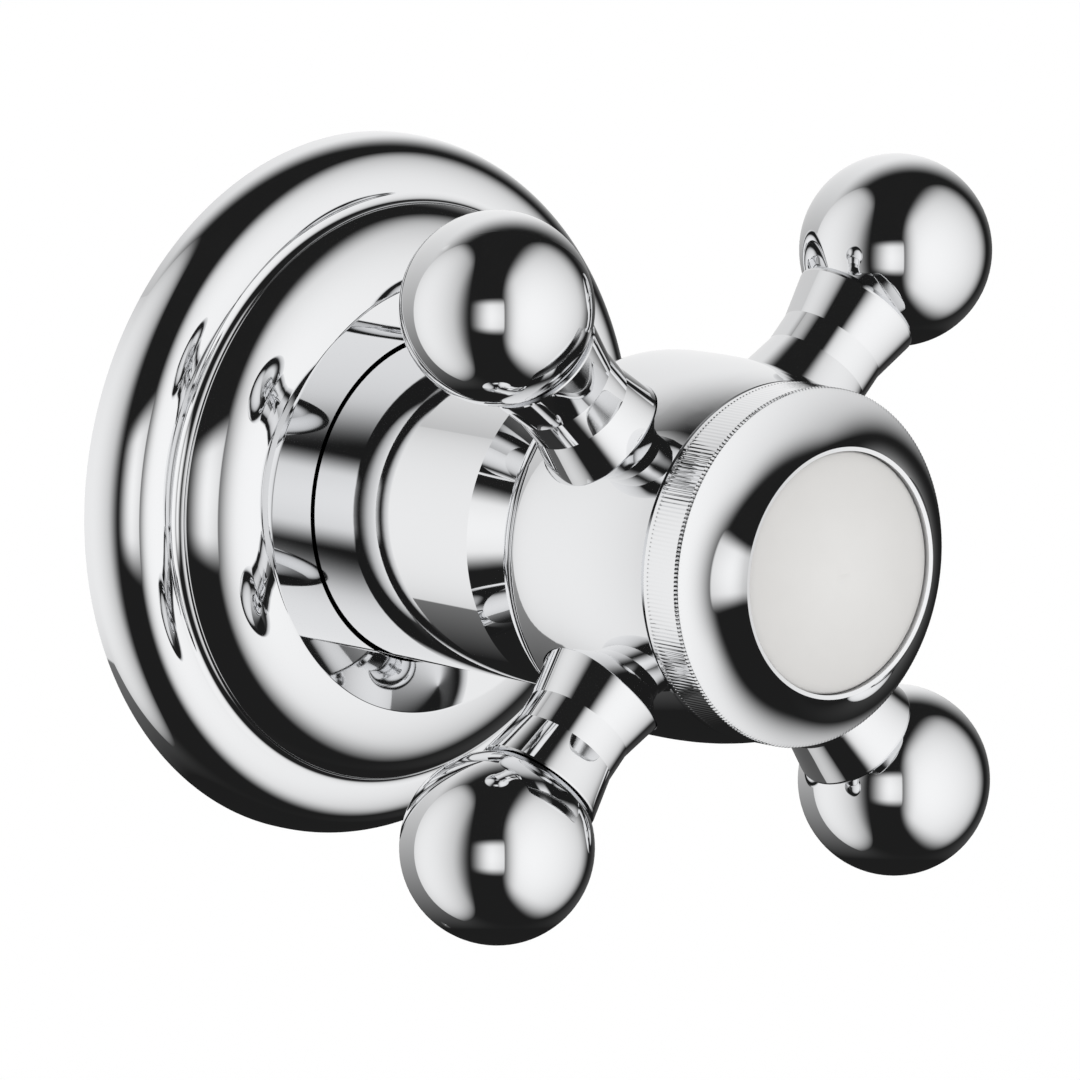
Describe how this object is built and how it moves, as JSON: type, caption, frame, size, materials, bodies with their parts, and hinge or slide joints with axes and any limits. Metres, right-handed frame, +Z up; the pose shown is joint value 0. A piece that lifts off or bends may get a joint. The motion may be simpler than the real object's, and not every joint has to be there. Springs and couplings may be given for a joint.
{
  "type": "shower valve",
  "caption": "Wall-mounted concealed shower stop valve: stepped round rosette, sleeve and a turning cross handle with ball ends, knurled cap and white porcelain insert.",
  "frame": {"origin": "centre of the rosette's back rim, on the wall plane, where the valve axis meets it", "axes": "+Y along the valve axis into the wall, the front of the valve faces -Y, +Z up, +X to the right seen from the front"},
  "size_m": [0.0666, 0.0909, 0.0666],
  "materials": {
    "chrome_plate": "polished chrome plate on brass",
    "white_porcelain": "glazed white porcelain",
    "raw_brass": "machined brass",
    "black_rubber": "moulded seal rubber",
    "seal_foam": "closed-cell sealing foam",
    "fibre_gasket": "red fibre washer",
    "stainless_steel": "stainless steel",
    "grey_plastic": "moulded acetal",
    "alumina_ceramic": "ground alumina ceramic"
  },
  "bodies": {
    "valve": {"rosette": "chrome_plate", "rosette_seal": "seal_foam", "rosette_o_ring": "black_rubber", "sleeve": "chrome_plate", "sleeve_adapter": "raw_brass", "glide_ring": "grey_plastic", "bonnet": "raw_brass", "bonnet_gasket": "fibre_gasket", "slip_washer": "grey_plastic", "fixed_disc": "alumina_ceramic", "seat_seal": "black_rubber"},
    "handle": {"handle_hub": "chrome_plate", "handle_arm_upper_left": "chrome_plate", "handle_arm_upper_right": "chrome_plate", "handle_arm_lower_left": "chrome_plate", "handle_arm_lower_right": "chrome_plate", "knurled_cap": "chrome_plate", "porcelain_insert": "white_porcelain", "insert_o_ring": "black_rubber", "spindle_extension": "raw_brass", "spline_bush": "grey_plastic", "handle_screw": "stainless_steel", "screw_washer": "stainless_steel", "spindle": "raw_brass", "spindle_o_rings": "black_rubber", "spindle_circlip": "stainless_steel", "rotating_disc": "alumina_ceramic"}
  },
  "joints": [
    {"name": "handle_turn", "type": "hinge", "parent": "valve", "child": "handle", "pos_m": [0, 0, 0], "axis": [0, -1, 0], "range_deg": [0, 90]}
  ]
}
